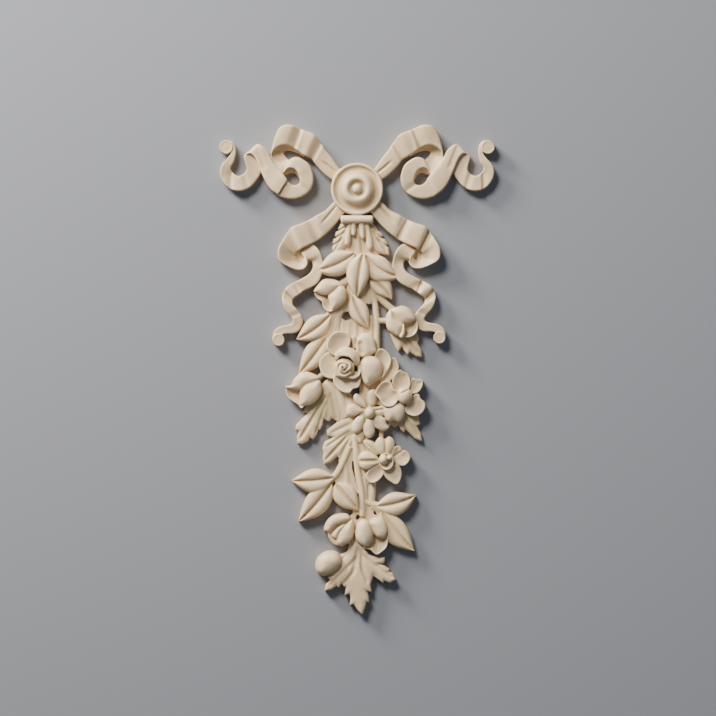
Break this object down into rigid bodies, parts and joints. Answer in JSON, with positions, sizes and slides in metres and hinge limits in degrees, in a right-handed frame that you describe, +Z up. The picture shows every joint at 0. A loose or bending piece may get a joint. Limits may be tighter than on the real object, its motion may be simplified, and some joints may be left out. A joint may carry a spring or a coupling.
{
  "type": "onlay",
  "caption": "Moulded onlay of a ribbon bow with a round rosette and a drop of leaves, buds and flowers, cast in one piece with a flat back.",
  "frame": {"origin": "centre of the rosette, on the flat back", "axes": "+Z up the drop, the carved face towards -Y, +Y out of the back into the wall, +X to the viewer's right"},
  "size_m": [0.2288, 0.019, 0.4072],
  "materials": {
    "polyurethane": "primed matte, cream with yellow-ochre in the hollows"
  },
  "bodies": {
    "root": {"casting": "polyurethane"}
  },
  "joints": []
}
